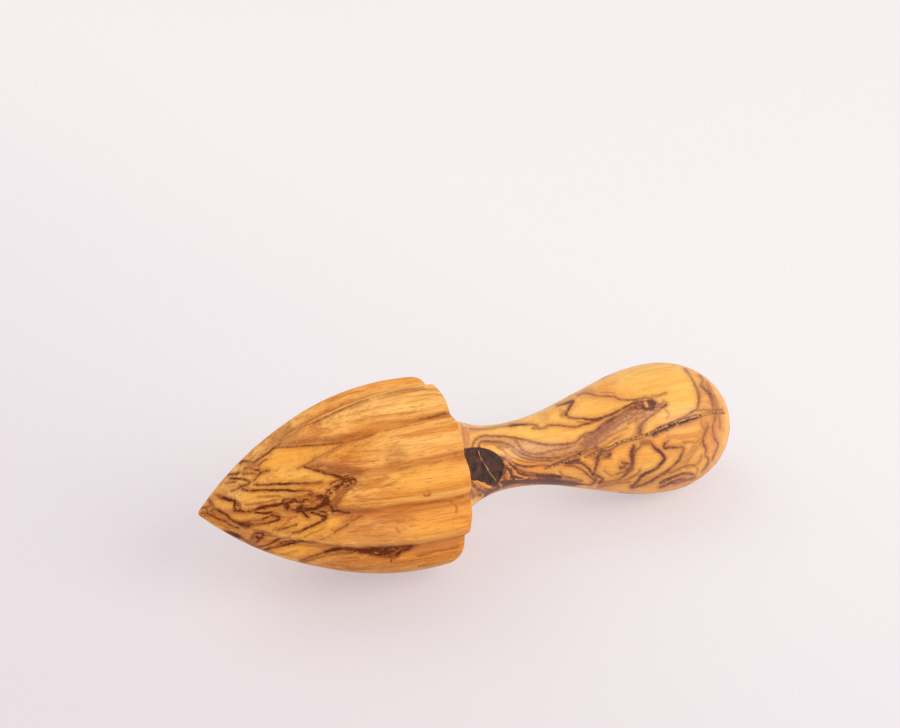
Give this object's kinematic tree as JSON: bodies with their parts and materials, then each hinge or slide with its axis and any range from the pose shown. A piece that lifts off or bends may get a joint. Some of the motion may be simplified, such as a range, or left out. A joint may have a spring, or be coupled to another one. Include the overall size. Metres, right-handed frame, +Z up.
{
  "type": "wooden citrus reamer",
  "caption": "Hand-held wooden citrus reamer: a pointed fluted head glued on the tenon of a turned handle with a narrow waist and a round bulb grip.",
  "frame": {"origin": "on the worktop, under the middle of the whole box, with the reamer lying at rest on two crests of the head and the bulb of the handle", "axes": "+Z up from the worktop, +X along the reamer from the tip towards the bulb, -Y the side that the picture was taken from"},
  "size_m": [0.1494, 0.0494, 0.0494],
  "materials": {
    "head_wood": "satin, oiled olive wood, turned and carved",
    "handle_wood": "satin, oiled olive wood, turned and sanded",
    "knot_wood": "satin, dead black knot",
    "check_filler": "matt, wood dust and glue"
  },
  "bodies": {
    "root": {"reamer_head": "head_wood", "handle": "handle_wood", "neck_knot": "knot_wood", "knot_check_filler": "check_filler", "handle_check_filler": "check_filler"}
  },
  "joints": []
}
